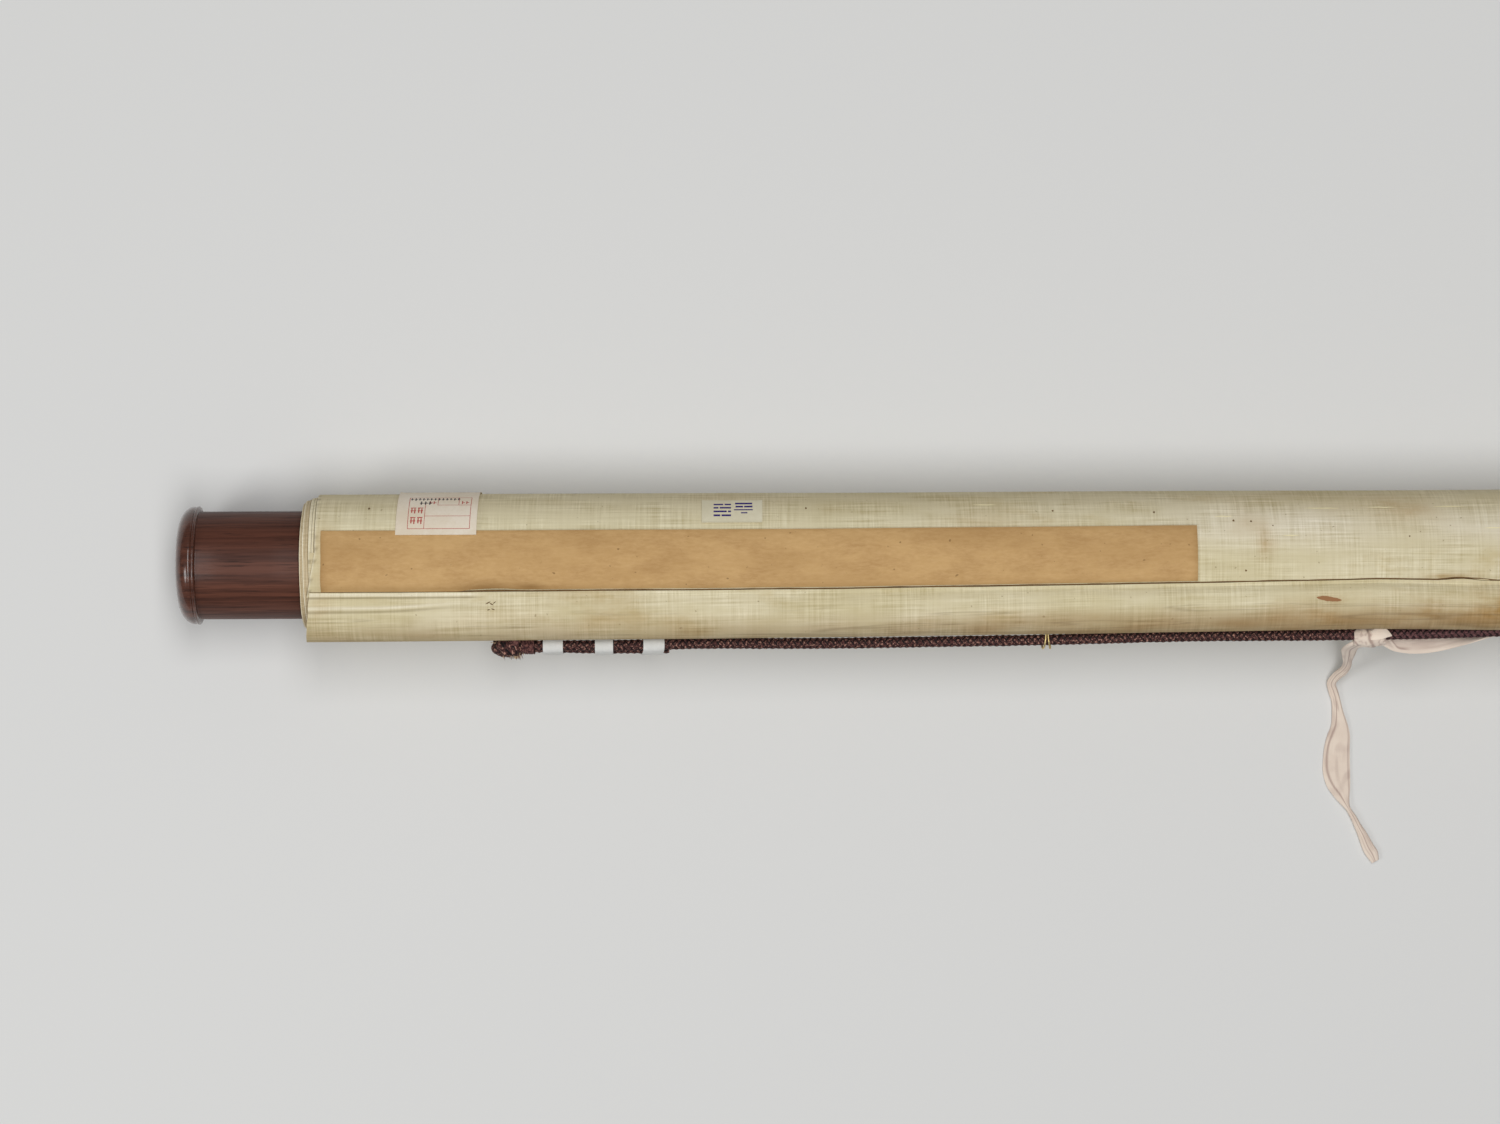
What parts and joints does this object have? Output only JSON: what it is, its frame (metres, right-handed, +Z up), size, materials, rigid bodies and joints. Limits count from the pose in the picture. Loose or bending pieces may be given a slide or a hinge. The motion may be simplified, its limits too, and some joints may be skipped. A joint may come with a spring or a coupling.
{
  "type": "rolled hanging scroll",
  "caption": "Rolled hanging scroll of silk and paper on a wooden roller with turned end knobs, a top stave with a braided hanging cord, and a cloth tie.",
  "frame": {"origin": "middle of the flat spot that the roll lies on, at mid-length", "axes": "+X along the roll, +Y away from the hanging cord, +Z up"},
  "size_m": [0.8966, 0.1429, 0.0544],
  "materials": {
    "silk": "matte plain weave, aged",
    "roller_wood": "plain softwood",
    "stave_wood": "plain softwood",
    "knob_wood": "dark hardwood, waxed",
    "slip_paper": "matte",
    "label_paper": "matte",
    "ring_brass": "drawn wire, dulled",
    "braid": "braided",
    "tape": "soft woven tape",
    "whipping_thread": "wound thread",
    "band_paper": "matte"
  },
  "bodies": {
    "root": {"roller": "roller_wood", "knob_left": "knob_wood", "knob_right": "knob_wood", "scroll_roll": "silk", "top_stave": "stave_wood", "title_slip": "slip_paper", "corner_label": "label_paper", "stamp_label": "label_paper", "cord_rings": "ring_brass", "hanging_cord": "braid", "tie_ribbon": "tape", "cord_whipping_left": "whipping_thread", "cord_whipping_right": "whipping_thread", "cord_band_left_1": "band_paper", "cord_band_left_2": "band_paper", "cord_band_left_3": "band_paper", "cord_band_right_1": "band_paper", "cord_band_right_2": "band_paper", "cord_band_right_3": "band_paper"}
  },
  "joints": []
}
